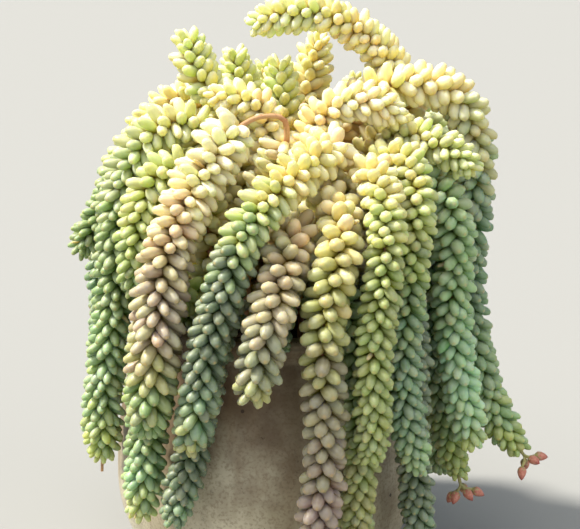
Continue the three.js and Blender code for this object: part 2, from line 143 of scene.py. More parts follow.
def make_sky():
    world = bpy.data.worlds.new("studio")
    world.use_nodes = True
    background = world.node_tree.nodes["Background"].inputs
    background["Color"].default_value = SKY_COLOUR
    background["Strength"].default_value = SKY_STRENGTH
    bpy.context.scene.world = world


make_lamp("key_lamp", towards=(-0.62, 0.02, 1.0), spread=8, strength=5.8, colour=(1.0, 0.95, 0.86))
make_lamp("top_lamp", towards=(-0.2, -0.4, 1.0), spread=50, strength=1.3, colour=(1.0, 0.96, 0.88))
make_lamp("fill_lamp", towards=(0.75, -0.6, 0.4), spread=60, strength=0.4, colour=(0.9, 0.95, 1.0))
make_sky()
bpy.context.scene.view_settings.view_transform = "Standard"
print("lamps:", len(bpy.data.lights))

# %% [markdown]
# ## Building materials from nodes
# Every finish is a small net of nodes. This helper keeps the nets readable: it adds a node, sets
# its numbers and links what is given as another node's output. The mix node has several sets of
# sockets, so the ones that carry colours are named by their numbers.

# %% A helper for node nets
MIX_SHARE, MIX_FIRST, MIX_SECOND, MIX_RESULT = 0, 6, 7, 2


def linear(red, green, blue):
    """A colour given on a screen's scale, 0 to 255, as the light values that Blender mixes."""
    return tuple((part / 255) ** 2.2 for part in (red, green, blue))


class Net:
    """A material's nodes, added one at a time."""

    def __init__(self, name):
        self.material = bpy.data.materials.new(name)
        self.material.use_nodes = True
        self.tree = self.material.node_tree
        self.surface = self.tree.nodes["Principled BSDF"]

    def put(self, node, key, value):
        socket = node.inputs[key]
        if isinstance(value, bpy.types.NodeSocket):
            self.tree.links.new(value, socket)
        elif socket.type == "RGBA" and len(value) == 3:
            socket.default_value = (*value, 1)
        else:
            socket.default_value = value

    def fill(self, node, inputs):
        for key, value in inputs.items():
            self.put(node, key.replace("_", " "), value)
        return node

    def add(self, kind, settings=None, **inputs):
        node = self.tree.nodes.new(kind)
        for key, value in (settings or {}).items():
            setattr(node, key, value)
        return self.fill(node, inputs)

    def math(self, operation, first, second):
        node = self.add("ShaderNodeMath", {"operation": operation})
        self.put(node, 0, first)
        self.put(node, 1, second)
        return node.outputs[0]

    def mix(self, share, first, second, blend="MIX"):
        node = self.add("ShaderNodeMix", {"data_type": "RGBA", "blend_type": blend})
        self.put(node, MIX_SHARE, share)
        self.put(node, MIX_FIRST, first)
        self.put(node, MIX_SECOND, second)
        return node.outputs[MIX_RESULT]

    def span(self, value, low, high, start=0.0, end=1.0):
        """Maps low..high of a value to start..end, and holds it there beyond."""
        ends = {"From_Min": low, "From_Max": high, "To_Min": start, "To_Max": end}
        kind = {"interpolation_type": "SMOOTHSTEP"}
        return self.add("ShaderNodeMapRange", kind, Value=value, **ends).outputs["Result"]

    def noise(self, place, scale, detail=2.0, roughness=0.5):
        """A cloudy value from 0 to 1. A scale of 100 gives clouds about a centimetre wide."""
        inputs = {"Scale": scale, "Detail": detail, "Roughness": roughness}
        return self.add("ShaderNodeTexNoise", Vector=place, **inputs).outputs["Fac"]

    def place(self):
        return self.add("ShaderNodeTexCoord").outputs["Object"]

    def attribute(self, name, output):
        return self.add("ShaderNodeAttribute", {"attribute_name": name}).outputs[output]

    def bump(self, height, strength, distance):
        node = self.add("ShaderNodeBump", Height=height, Strength=strength, Distance=distance)
        self.put(self.surface, "Normal", node.outputs["Normal"])

    def finish(self, **inputs):
        self.fill(self.surface, inputs)
        return self.material


print("output of a mix:", MIX_RESULT)

# %% [markdown]
# ## The floor
# One plain pale sheet that fills every view. It is staged: it belongs to the picture and not to
# the part.

# %% Floor
FLOOR_COLOUR = linear(152, 152, 150)
FLOOR_SIZE = 60


def make_floor():
    bpy.ops.mesh.primitive_plane_add(size=FLOOR_SIZE)
    floor = named("floor")
    floor.data.materials.append(Net("pale_floor").finish(Base_Color=FLOOR_COLOUR, Roughness=0.95))


make_floor()
print("materials so far:", len(bpy.data.materials))

# %% [markdown]
# ## The leaf's finish
# A burro's tail leaf is plump and juicy, with a thin waxy bloom. Light goes a few millimetres
# into it. Its colour depends on the sun that it gets: cream and yellow in full sun, peach where it
# is stressed, blue green in the shade. Each leaf carries its tint as an attribute, with painted
# light on its sunny side and painted shade on its shaded side, so one material serves all tails. A
# second attribute holds how far along the leaf a point lies, a random number for the leaf, and how
# much painted glow its foot gets. The foot is painted darker, as shade in the crease between the
# leaves, and deep between sunny leaves it is painted golden, as light that comes through them.

# %% Leaf material
BLOOM = linear(226, 232, 214)
SCAR = linear(120, 88, 60)
# Painted shade: darkens the foot of each leaf, in the crease between the leaves.
SHADED_FOOT = linear(206, 196, 120)
# Painted light: the golden glow at the foot of sunny leaves, as if light came through them.
PAINTED_GLOW_FOOT = linear(250, 200, 84)
DRY_POINT = linear(214, 178, 120)


def leaf_material():
    net = Net("plump_leaf")
    # The attribute holds each point's tint with its painted light and shade.
    tint = net.attribute("tint_and_painted_light", "Color")
    spot = net.attribute("leaf_place", "Vector")
    along, chance, glow = net.add("ShaderNodeSeparateXYZ", Vector=spot).outputs
    place = net.place()
    cloud = net.noise(place, 150.0, 3.0)
    fine = net.noise(place, 900.0, 2.0)
    # The foot gets painted shade, which turns to a painted golden glow as far as the leaf is sunny.
    deep = net.mix(1.0, tint, SHADED_FOOT, "MULTIPLY")
    foot = net.mix(glow, deep, net.mix(0.55, tint, PAINTED_GLOW_FOOT))
    colour = net.mix(net.span(along, 0.05, 0.5), foot, tint)
    waxy = net.span(cloud, 0.3, 0.7, 0.4, 1.0)
    bloom = net.math("MULTIPLY", waxy, net.span(along, 0.25, 0.8, 0.0, 0.2))
    colour = net.mix(bloom, colour, BLOOM)
    scarred = net.span(chance, 0.55, 0.95, 0.0, 0.4)
    colour = net.mix(net.math("MULTIPLY", net.span(fine, 0.66, 0.74), scarred), colour, SCAR)
    colour = net.mix(net.span(along, 0.95, 1.0, 0.0, 0.4), colour, DRY_POINT)
    net.bump(net.math("ADD", cloud, net.math("MULTIPLY", fine, 0.3)), 0.12, 0.0006)
    return net.finish(
        Base_Color=colour,
        Roughness=net.span(cloud, 0.3, 0.7, 0.3, 0.46),
        Subsurface_Weight=0.7,
        Subsurface_Radius=(1.0, 0.9, 0.35),
        Subsurface_Scale=0.008,
        Specular_IOR_Level=0.42,
    )


LEAF = leaf_material()
print("leaf material:", LEAF.name)

# %% [markdown]
# ## The stem's finish
# Old stems are bare and red brown. Between the leaves the stem is hidden, so brown serves all of
# it.

# %% Stem material
STEM_BROWN = linear(186, 126, 90)
STEM_PALE = linear(206, 160, 116)
STEM_GRAIN = linear(132, 88, 62)


def stem_material():
    net = Net("bare_stem")
    place = net.place()
    patch = net.noise(place, 70.0, 3.0)
    grain = net.noise(place, 600.0, 2.0)
    colour = net.mix(net.span(patch, 0.35, 0.65), STEM_BROWN, STEM_PALE)
    colour = net.mix(net.span(grain, 0.55, 0.75, 0.0, 0.6), colour, STEM_GRAIN)
    net.bump(grain, 0.4, 0.0006)
    return net.finish(Base_Color=colour, Roughness=0.62)


STEM = stem_material()
print("stem material:", STEM.name)

# %% [markdown]
# ## Shaping a ball
# A leaf and a bud are plump spindles, and a ball with few faces is a good start for them. Its rings
# are moved and scaled one by one to a profile, which gives each ring's height and width. Rings that
# move down go first, from the lowest, then those that move up, from the highest, so that none
# meets another on its way.

# %% A helper that shapes a ball
SAME_HEIGHT = 0.01


def select_ring(ball, height):
    """In edit mode, selects the ball's points at this height."""
    bpy.ops.mesh.select_all(action="DESELECT")
    net = bmesh.from_edit_mesh(ball.data)
    for point in net.verts:
        point.select = abs(point.co.z - height) < SAME_HEIGHT
    net.select_flush_mode()
    bmesh.update_edit_mesh(ball.data)


def shaped_ball(name, sides, profile, size):
    """The points and faces of a spindle that stands on the origin along +Z."""
    rings = len(profile) + 1
    bpy.ops.mesh.primitive_uv_sphere_add(
        segments=sides, ring_count=rings, radius=0.5, location=(0, 0, 0.5)
    )
    ball = settle(named(name))
    bpy.ops.object.mode_set(mode="EDIT")
    starts = [0.5 - 0.5 * math.cos(math.pi * ring / rings) for ring in range(1, rings)]
    moves = [(start, *goal) for start, goal in zip(starts, profile)]
    down = sorted(move for move in moves if move[1] < move[0])
    up = sorted((move for move in moves if move[1] >= move[0]), reverse=True)
    for start, height, width in down + up:
        select_ring(ball, start)
        scale = 0.5 * width / math.sqrt(0.25 - (start - 0.5) ** 2)
        bpy.ops.transform.resize(value=(scale, scale, 1), center_override=(0, 0, start))
        bpy.ops.transform.translate(value=(0, 0, height - start))
    bpy.ops.mesh.select_all(action="SELECT")
    bpy.ops.transform.resize(value=size, center_override=(0, 0, 0))
    bpy.ops.object.mode_set(mode="OBJECT")
    points = np.array([point.co for point in ball.data.vertices])
    faces = [list(face.vertices) for face in ball.data.polygons]
    bpy.data.objects.remove(ball)
    return points, faces


print("rings count as one within", SAME_HEIGHT)

# %% [markdown]
# ## One leaf, modelled once
# The leaf has a narrow foot, its widest place a little below the middle and a blunt point, and it
# is slightly flat. It is one unit long and one unit wide here. It has few faces, because the
# plant carries thousands of copies.

# %% Model the leaf
LEAF_SIDES = 8
LEAF_PROFILE = [(0.035, 0.54), (0.16, 0.86), (0.44, 1.0), (0.75, 0.92), (0.945, 0.56)]
LEAF_SIZE = (1, 0.92, 1)

LEAF_POINTS, LEAF_FACES = shaped_ball("leaf_pattern", LEAF_SIDES, LEAF_PROFILE, LEAF_SIZE)
print("leaf:", len(LEAF_POINTS), "points and", len(LEAF_FACES), "faces")

# %% [markdown]
# ## Reading a tail's route from its solid
# Each tail in the frame is a tube of rings that closes in one point at its tip. Ten faces meet
# there, more than anywhere else, so the tip is easy to find. Walking from it, edge by edge, gives
# the rings one after another down to the foot. The five inner corners of a ring lie round the
# stem's middle, and the outer ones say how far the leaves reach.

# %% Rings of a tail
SAME_PLACE = 1e-5
INNER_CORNERS = 5


def rings_of(node):
    """The rings of corners from the tail's foot to its tip."""
    net = bmesh.new()
    net.from_mesh(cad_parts[node].data)
    bmesh.ops.remove_doubles(net, verts=net.verts, dist=SAME_PLACE)
    tip = max(net.verts, key=lambda corner: len(corner.link_edges))
    ring, seen, rings = [tip], {tip}, []
    while ring:
        rings.append(np.array([corner.co for corner in ring]))
        around = {edge.other_vert(corner) for corner in ring for edge in corner.link_edges}
        ring = sorted(around - seen, key=lambda corner: corner.index)
        seen.update(ring)
    net.free()
    return rings[::-1]


def middle_and_reach(ring):
    """The stem's middle in a ring, and how far its furthest corner lies square to the stem."""
    spread = np.linalg.norm(ring - ring.mean(0), axis=1)
    inner = ring[np.argsort(spread)[:INNER_CORNERS]]
    middle = inner.mean(0)
    if len(ring) <= INNER_CORNERS:
        return middle, 0.0
    normal = np.linalg.svd(inner - middle)[2][2]
    outward = ring - middle
    outward = outward - np.outer(outward @ normal, normal)
    return middle, np.linalg.norm(outward, axis=1).max()


print("rings of arch_tail:", [len(ring) for ring in rings_of("arch_tail")])

# %% [markdown]
# ## A smooth line through the rings
# The rings lie some centimetres apart. A smooth curve through their middles gives the stem.
# Directions are carried along it without twisting, so that the leaves' spiral stays even.

# %% Smooth line and directions
STEP = 0.001
CUTS = 16


def smooth_line(middles):
    """Points every millimetre on a curve through the middles, and where the middles lie on it."""
    ends = np.vstack([2 * middles[0] - middles[1], middles, 2 * middles[-1] - middles[-2]])
    share = np.linspace(0, 1, CUTS, endpoint=False)[:, None]
    pieces = []
    for a, b, c, d in zip(ends, ends[1:], ends[2:], ends[3:]):
        square = (2 * a - 5 * b + 4 * c - d) * share**2
        cube = (3 * b - a - 3 * c + d) * share**3
        pieces.append(0.5 * (2 * b + (c - a) * share + square + cube))
    fine = np.vstack([*pieces, middles[-1:]])
    run = np.concatenate([[0], np.cumsum(np.linalg.norm(np.diff(fine, axis=0), axis=1))])
    places = np.linspace(0, run[-1], round(run[-1] / STEP) + 1)
    line = np.column_stack([np.interp(places, run, fine[:, axis]) for axis in range(3)])
    return line, places, run[::CUTS]


def unit(vectors):
    return vectors / np.linalg.norm(vectors, axis=-1, keepdims=True)


def directions(line):
    """Along the line, and two directions across it that turn as little as they can."""
    along = unit(np.gradient(line, axis=0))
    across = np.empty_like(along)
    last = np.array([1.0, 0, 0])
    for index, way in enumerate(along):
        last = unit(last - way * (last @ way))
        across[index] = last
    return along, across, np.cross(along, across)


print("a stem has a point every", STEP, "m")

# %% [markdown]
# ## The routes of all tails
# A route holds a tail's line with its directions, where its leafy stretch starts, its whole
# length, and how far its leaves reach.

# %% Routes of all tails
def route_of(node):
    """All that is needed to grow leaves on a tail."""
    rings = rings_of(node)
    measured = [middle_and_reach(ring) for ring in rings]
    line, places, marks = smooth_line(np.array([middle for middle, _ in measured]))
    leafy = [index for index, ring in enumerate(rings) if len(ring) > INNER_CORNERS]
    along, across, aside = directions(line)
    reach = max(reach for _, reach in measured)
    return {
        "line": line, "along": along, "across": across, "aside": aside,
        "start": marks[leafy[0]], "length": places[-1], "reach": reach,
    }


TAILS = [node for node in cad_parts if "tail" in node]
ROUTES = {node: route_of(node) for node in TAILS}
leafy_length = sum(route["length"] - route["start"] for route in ROUTES.values())
print(len(TAILS), "tails with", round(leafy_length, 2), "metres of leafy stem")

# %% [markdown]
# ## Tints
# The colours run along each tail: pale where it crosses the sunny crown, green or blue green
# further down, often fresh again at the tip. Each tail names its colours from its first leaf to
# its last, evenly spaced, and the leaves between them mix their neighbours.

# %% Tints of the tails
PALETTE = {
    "pale": (254, 248, 206),
    "cream": (248, 238, 184),
    "lemon": (244, 230, 134),
    "amber": (244, 206, 118),
    "lime": (194, 208, 98),
    "olive": (174, 174, 86),
    "moss": (158, 174, 74),
    "green": (130, 160, 84),
    "mint": (152, 186, 128),
    "jade": (142, 190, 134),
    "frost": (190, 230, 184),
    "blue": (104, 146, 104),
    "deep": (54, 90, 44),
    "peach": (240, 214, 168),
    "beige": (194, 180, 140),
    "sand": (150, 139, 106),
    "mauve": (184, 162, 140),
    "rose": (156, 130, 120),
    "taupe": (128, 132, 100),
}
TINTS = {
    "left_tail_1": "cream cream lime green green green mint mint lime",
    "left_tail_2": "cream cream lemon lime green green green",
    "left_tail_3": "green blue blue green",
    "left_tail_4": "cream lime lime green",
    "crown_tail_1": "cream lemon lime lime",
    "crown_tail_2": "lemon lime lime lime",
    "crown_tail_3": "cream lemon lime lime",
    "crown_tail_4": "amber cream lemon",
    "crown_tail_5": "amber amber cream lemon",
    "crown_tail_6": "cream cream lemon",
    "crown_tail_7": "lemon lime lime",
    "crown_tail_8": "lemon lime green",
    "crown_tail_9": "cream lemon lime",
    "arch_tail": "amber amber lemon lemon cream lemon lime lime lime",
    "right_tail_1": "amber amber lemon lemon olive blue blue blue blue mint mint lime",
    "right_tail_2": "cream lime mint mint mint mint jade frost frost lime",
    "right_tail_3": "green blue blue blue green lime",
    "right_tail_4": "lemon cream lime lime",
    "front_tail_1": "pale pale pale cream peach beige mauve beige olive green green",
    "front_tail_2": "green lime green green green jade lime",
    "front_tail_3": "cream cream lemon lemon lime green deep deep deep blue olive",
    "front_tail_4": "green deep deep deep deep deep blue",
    "front_tail_5": "cream cream peach beige beige taupe olive",
    "front_tail_6": (
        "cream peach cream lemon olive olive sand sand rose rose rose taupe green green"
    ),
    "front_tail_7": "cream cream lemon lime moss moss moss moss",
    "front_tail_8": "green green green olive green",
    "front_tail_9": "cream lemon lime lime green blue blue mint",
    "front_tail_10": "deep deep deep deep blue",
    "front_tail_11": "deep blue blue",
    "back_tail_1": "green blue blue green",
    "back_tail_2": "lemon lime green green mint",
    "back_tail_3": "lime green green mint",
    "back_tail_4": "green blue deep green",
    "back_tail_5": "lemon lime green blue green",
    "back_tail_6": "lime lime olive green lime",
    "back_tail_7": "blue deep blue green",
    "back_tail_8": "lemon lime green green mint",
    "back_tail_9": "lime green blue green",
    "back_tail_10": "green lime green lime",
    "back_tail_11": "lemon lime green blue green",
    "short_tail_1": "cream lemon lime",
    "short_tail_2": "lemon lime lime",
    "short_tail_3": "lemon lime green",
    "short_tail_4": "lime green green",
    "short_tail_5": "lime green green",
}


def tints_along(node, share):
    """The palette's colour at each share of the leafy length."""
    stops = np.array([linear(*PALETTE[name]) for name in TINTS[node].split()])
    spots = np.linspace(0, 1, len(stops))
    return np.column_stack([np.interp(share, spots, stops[:, part]) for part in range(3)])


print("colours in the palette:", len(PALETTE))

# %% [markdown]
# ## How large the leaves are, and how they stand
# The frame's solid says how far the leaves reach. In the crown they are larger and mostly plumper,
# so size and slimness, which is thickness over length, come in pairs: for a tail's first leaves and
# for its last ones. Some tails have pairs of their own. The leaves stand out widely, and in a
# tail's last centimetres they shorten and close to a blunt rosette.

# %% Sizes and angles of the leaves
STEM_RADIUS = 0.0022
EXTRA_REACH = 0.002
THINNEST = 0.0052
SIZES = (1.12, 1.0)
OWN_SIZES = {
    "front_tail_1": (1.12, 1.07),
    "front_tail_2": (1.18, 1.0),
    "front_tail_3": (1.24, 1.0),
    "front_tail_6": (1.05, 1.0),
}
CROWN_SHARE = 0.6
SLIMNESS = (0.62, 0.5)
OWN_SLIMNESS = {
    "left_tail_1": (0.53, 0.43),
    "left_tail_2": (0.56, 0.45),
    "front_tail_1": (0.45, 0.44),
    "front_tail_2": (0.56, 0.45),
    "front_tail_3": (0.52, 0.54),
    "front_tail_6": (0.68, 0.55),
}
FIRST_ANGLE = math.radians(86)
LAST_ANGLE = math.radians(64)
TIP_ANGLE = math.radians(20)
TIP_RUN = 0.027
TIP_LEAF = 0.42
TIP_POWER = 0.5
TIP_STOP = 0.005

print("tails with slimness of their own:", len(OWN_SLIMNESS))

# %% [markdown]
# ## Where the leaves stand
# How far the stem grows between two leaves follows from their thickness: the leaves nearly cover
# it. Below the leafy stretch lies a sparse run down to the soil, where the leaves are smaller and
# more of them have dropped. One tail is bare where its stem arches in front of the crown: from
# 54 mm before its leafy stretch to 7 mm past its start.

# %% Plan the leaves
COVER = 0.94
MISSING = 0.01
SPARSE_MISSING = 0.2
SPARSE_MORE = 0.4
SPARSE_RUN = 0.15
SPARSE_SIZE = 0.92
SPARSE_FROM = 0.03
HOLE_DEPTH = 0.014
BARE_ARC = {"front_tail_1": (-0.054, 0.007)}


def between(share, first, last=1.0):
    """The value at this share of the way from the first to the last."""
    return first + (last - first) * share


def ease(share):
    return share * share * (3 - 2 * share)


def leaf_plan(node, route, chance):
    """For each leaf: its place on the stem, its angle to it, its length and its thickness."""
    full = route["reach"] + EXTRA_REACH - STEM_RADIUS
    sizes = OWN_SIZES.get(node, SIZES)
    slimness = OWN_SLIMNESS.get(node, SLIMNESS)
    bare_from, bare_to = BARE_ARC.get(node, (0.0, 0.0))
    leafy = route["length"] - route["start"]
    plan = []
    place = max(route["start"] - SPARSE_RUN, HOLE_DEPTH + SPARSE_FROM)
    while place < route["length"] - TIP_STOP:
        past = place - route["start"]
        share = min(max(past / leafy, 0), 1)
        opened = min((route["length"] - place) / TIP_RUN, 1) ** TIP_POWER
        size = between(min(share / CROWN_SHARE, 1), *sizes)
        length = size * full * between(opened, TIP_LEAF)
        missing = MISSING
        if past < 0:
            length *= SPARSE_SIZE
            missing = SPARSE_MISSING + SPARSE_MORE * min(-past / SPARSE_RUN, 1)
        thickness = max(between(share, *slimness) * length, THINNEST)
        widest_angle = between(share, FIRST_ANGLE, LAST_ANGLE)
        angle = between(ease(opened), TIP_ANGLE, widest_angle)
        if chance.random() > missing and not bare_from < past < bare_to:
            plan.append((place, angle, length, thickness))
        belt = 2 * math.pi * (STEM_RADIUS + 0.5 * length * math.sin(angle))
        place += COVER * thickness**2 / belt
    return np.array(plan)


example = leaf_plan("left_tail_1", ROUTES["left_tail_1"], np.random.default_rng(1))
print("leaves on left_tail_1:", len(example))

# %% [markdown]
# ## Turning the copies
# On the real stem each leaf stands 137.5 degrees round from the last one, which gives the braided
# look. Each copy is turned outwards, leans towards the tail's tip, and bends a little further that
# way. A table says how much each trait varies. Instances would do too, but a mesh of its own lets
# every leaf differ. Each point is also told how much it faces the sun.

# %% Turn the copies
GOLDEN_TURN = math.radians(137.508)
VARIES = {
    "turn": 0.07, "angle": 0.08, "length": 0.07, "thickness": 0.06, "bend": 0.03,
    "sway": 0.05, "place": 0.045, "bleach": 0.06, "light": 0.07, "colour": 0.035,
}
LENGTH_LIMITS = (0.8, 1.12)
THICKNESS_LIMITS = (0.85, 1.12)
BEND = 0.09
FOOT_DEPTH = 0.6
SUNWARD = unit(np.array([-0.62, -0.1, 1.0]))
FACING_GAIN = 1.2
FACING_LEVEL = 0.4


def spots_of(route, plan):
    """The index of the line's point at each leaf's place."""
    return np.clip((plan[:, 0] / STEP).astype(int), 0, len(route["line"]) - 1)


def turned_copies(route, plan, chance):
    """All leaves' points, each leaf's outward direction, and how sunny each point is."""
    count = len(plan)
    _, angle, length, thickness = plan.T
    spot = spots_of(route, plan)
    turn = np.cumsum(np.full(count, GOLDEN_TURN)) + chance.normal(0, VARIES["turn"], count)
    angle = angle + chance.normal(0, VARIES["angle"], count)
    length = length * chance.normal(1, VARIES["length"], count).clip(*LENGTH_LIMITS)
    varied = chance.normal(1, VARIES["thickness"], count)
    thickness = thickness * varied.clip(*THICKNESS_LIMITS)
    across, aside, along = route["across"][spot], route["aside"][spot], route["along"][spot]
    out = across * np.cos(turn)[:, None] + aside * np.sin(turn)[:, None]
    axis = out * np.sin(angle)[:, None] + along * np.cos(angle)[:, None]
    forward = unit(along - axis * np.sum(along * axis, axis=1)[:, None])
    side = np.cross(axis, forward)
    foot = route["line"][spot] + out * STEM_RADIUS * FOOT_DEPTH
    wide, thick, run = LEAF_POINTS.T
    curl = run**2 * length[:, None]
    bend = (BEND + chance.normal(0, VARIES["bend"], count))[:, None] * curl
    sway = chance.normal(0, VARIES["sway"], count)[:, None] * curl
    points = (
        foot[:, None, :]
        + side[:, None, :] * (wide * thickness[:, None] + sway)[:, :, None]
        + forward[:, None, :] * (thick * thickness[:, None] + bend)[:, :, None]
        + axis[:, None, :] * (run * length[:, None])[:, :, None]
    )
    round_leaf = side[:, None, :] * wide[:, None] + forward[:, None, :] * thick[:, None]
    sunny = np.clip(FACING_GAIN * round_leaf @ SUNWARD + FACING_LEVEL, 0, 1)
    return points, out, sunny


print("sunward:", SUNWARD.round(2))

# %% [markdown]
# ## A tint for each leaf
# A leaf's tint is mixed from the tail's colours. It is bleached high in the crown. Where the leaf
# stands towards the sun it is paler still, partly from sun bleaching and partly as painted light.
# Lower down it is painted darker, as shade under the crown, and it varies from leaf to leaf.

# %% Tint each leaf
# Pale cream, for real sun bleaching and for painted light on the sunny side of leaves.
BLEACHED_AND_SUNLIT = np.array(linear(254, 249, 224))
BLEACH_FROM = 0.30
BLEACH_TO = 0.42
BLEACH_HIGH = 0.26
# Partly sun bleaching and partly painted light on leaves that point towards the sun.
FACING_BLEACH_AND_LIGHT = 0.2
FACING_LOW = 0.3
MOST_BLEACH = 0.8
# Painted shade: leaves below the crown are darkened, as if the crown shaded them.
LOW_SHADE = 0.73
LOW_SUN = 0.18
LEAST_GLOW = 0.4
DARKEST = 0.01
WITHERED_TINT = linear(196, 172, 124)


def leaf_colours(node, route, plan, out, withered, chance):
    """Each leaf's tint, random number, painted glow at its foot, and share of the crown's sun."""
    count = len(plan)
    past = plan[:, 0] - route["start"]
    leafy = route["length"] - route["start"]
    share = np.clip(past / leafy + chance.normal(0, VARIES["place"], count), 0, 1)
    tint = tints_along(node, share)
    height = route["line"][spots_of(route, plan)][:, 2]
    sun = np.clip((height - BLEACH_FROM) / (BLEACH_TO - BLEACH_FROM), 0, 1)
    # Leaves that point towards the sun are paler: partly sun bleaching, partly painted light.
    facing = np.clip(out @ SUNWARD, 0, 1) * between(sun, FACING_LOW)
    bleach = BLEACH_HIGH * sun + FACING_BLEACH_AND_LIGHT * facing
    bleach = (bleach + chance.normal(0, VARIES["bleach"], count)).clip(0, MOST_BLEACH)
    tint = between(bleach[:, None], tint, BLEACHED_AND_SUNLIT)
    # Painted shade on the low leaves.
    tint = tint * between(sun, LOW_SHADE)[:, None]
    tint = tint * chance.normal(1, VARIES["light"], (count, 1))
    tint = tint * chance.normal(1, VARIES["colour"], (count, 3))
    tint[withered] = WITHERED_TINT
    # How much painted golden glow each leaf's foot gets, stronger high in the crown.
    glow = sun * between(chance.random(count), LEAST_GLOW)
    luck = chance.random(count)
    return tint.clip(DARKEST, 1), luck, glow, between(sun, LOW_SUN)


print("leaves bleach above", BLEACH_FROM, "m")

# %% [markdown]
# ## Sunny and shaded sides
# Light and shade are painted on each leaf: the side that faces the sun is painted paler, and the
# side in the shade is painted richer and, where light comes through other leaves, warmer. Both are
# stronger high in the crown.

# %% Colour the points
# Painted light on the sunny side, and painted shade, richer and warmer, on the shaded side.
SUNNY_SIDE = 0.74
SHADE_DEPTH = 0.4
WARM_SHADE = np.array([1.0, 0.86, 0.5])


def point_colours(tint, glow, sun, sunny):
    """The colour of every point with its painted light and shade, with a fourth value of 1."""
    depth = between(sun, SHADE_DEPTH)[:, None]
    rich = tint * (1 - depth + depth * tint / tint.max(1, keepdims=True))
    rich = rich * (1 - glow[:, None] * (1 - WARM_SHADE))
    lit = sunny[:, :, None]
    shown = np.ones((*sunny.shape, 4), np.float32)
    # Painted shade on the shaded side, painted light towards the sunny side.
    sides = between(lit, rich[:, None, :], tint[:, None, :])
    shown[:, :, :3] = between(SUNNY_SIDE * lit * sun[:, None, None], sides, BLEACHED_AND_SUNLIT)
    return shown


print("share of cream on a sunny side:", SUNNY_SIDE)

# %% [markdown]
# ## One mesh for the leaves of a tail
# All copies go into one mesh, leaf by leaf, with the two attributes that the material reads.
# Withered leaves are shorter and much thinner.

# %% Grow the leaves of a tail
WITHERED = 0.007
WITHERED_LENGTH = 0.8
WITHERED_THICKNESS = 0.4


def built(name, points, faces, where, material):
    """A smooth piece that carries leaf_place for each of its points."""
    mesh = bpy.data.meshes.new(name)
    mesh.from_pydata(points.tolist(), [], faces)
    placed = mesh.attributes.new("leaf_place", "FLOAT_VECTOR", "POINT")
    placed.data.foreach_set("vector", where.astype(np.float32).ravel())
    mesh.materials.append(material)
    mesh.shade_smooth()
    piece = bpy.data.objects.new(name, mesh)
    bpy.context.scene.collection.objects.link(piece)
    return piece


def grow_leaves(node, seed):
    """The leaves of one tail as one piece, and how many there are."""
    chance = np.random.default_rng(seed)
    route = ROUTES[node]
    plan = leaf_plan(node, route, chance)
    withered = chance.random(len(plan)) < WITHERED
    plan[withered, 2] *= WITHERED_LENGTH
    plan[withered, 3] *= WITHERED_THICKNESS
    points, out, sunny = turned_copies(route, plan, chance)
    tint, luck, glow, sun = leaf_colours(node, route, plan, out, withered, chance)
    count, corners = sunny.shape
    starts = range(0, count * corners, corners)
    faces = [[start + corner for corner in face] for start in starts for face in LEAF_FACES]
    where = np.empty((count, corners, 3))
    where[:, :, 0] = LEAF_POINTS[:, 2]
    where[:, :, 1] = luck[:, None]
    where[:, :, 2] = glow[:, None]
    piece = built(node + "_leaves", points.reshape(-1, 3), faces, where, LEAF)
    # The attribute carries the tint and the painted light and shade of every point.
    tinted = piece.data.attributes.new("tint_and_painted_light", "FLOAT_COLOR", "POINT")
    tinted.data.foreach_set("color", point_colours(tint, glow, sun, sunny).ravel())
    return piece, count


print("share of withered leaves:", WITHERED)

# %% [markdown]
# ## The stems
# A stem is a round rod that follows the tail's line. A curve with a round section, turned into a
# mesh, gives that. It thins from the soil to the tip, and the dry end of one stem sticks
# out of its tail.

# %% Make a stem
STEM_EVERY = 6
FOOT_STEM_RADIUS = 0.003
END_STEM_RADIUS = 0.0012
DRY_ENDS = {"left_tail_1": 0.013}


def make_stem(node):
    route = ROUTES[node]
    stop = len(route["line"]) - round(TIP_STOP / STEP)
    line = route["line"][:stop:STEM_EVERY]
    if node in DRY_ENDS:
        tip = route["line"][-1]
        line = np.vstack([line, tip, tip + route["along"][-1] * DRY_ENDS[node]])
    curve = bpy.data.curves.new(node + "_stem", "CURVE")
    curve.dimensions = "3D"
    curve.bevel_depth = 1.0
    curve.bevel_resolution = 1
    curve.use_fill_caps = True
    spline = curve.splines.new("POLY")
    spline.points.add(len(line) - 1)
    spline.points.foreach_set("co", np.column_stack([line, np.ones(len(line))]).ravel())
    radii = np.linspace(FOOT_STEM_RADIUS, END_STEM_RADIUS, len(line))
    spline.points.foreach_set("radius", radii.astype(np.float32))
    stem = bpy.data.objects.new(node + "_stem", curve)
    bpy.context.scene.collection.objects.link(stem)
    only(stem)
    bpy.ops.object.convert(target="MESH")
    stem = bpy.context.active_object
    stem.data.materials.append(STEM)
    return smooth(stem)


print("tails with a dry end:", ", ".join(DRY_ENDS))

# %% [markdown]
# ## All tails
# A tail's leaves and stem become one piece, which rides on the root and stands for the frame's
# solid of that tail.


def make_tail(node, seed):
    """One tail as one piece. Returns the number of its leaves."""
    leaves, count = grow_leaves(node, seed)
    stem = make_stem(node)
    only(leaves, stem)
    bpy.ops.object.join()
    tail = named(node + "_grown")
    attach(tail, "root")
    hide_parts(node)
    return count


leaf_count = sum(make_tail(node, seed) for seed, node in enumerate(TAILS))
print("leaves grown:", leaf_count)

# %% [markdown]
# ## The pot
# The pot was thrown on a wheel, so its section is drawn once and spun round the axis. Its height
# and its width come from the frame. Two circles give the wall: a tight one below the belly and a
# wide one above it. The wall keeps its thickness inside, the foot is slightly hollowed, and the
# lip is a plain rounded band.

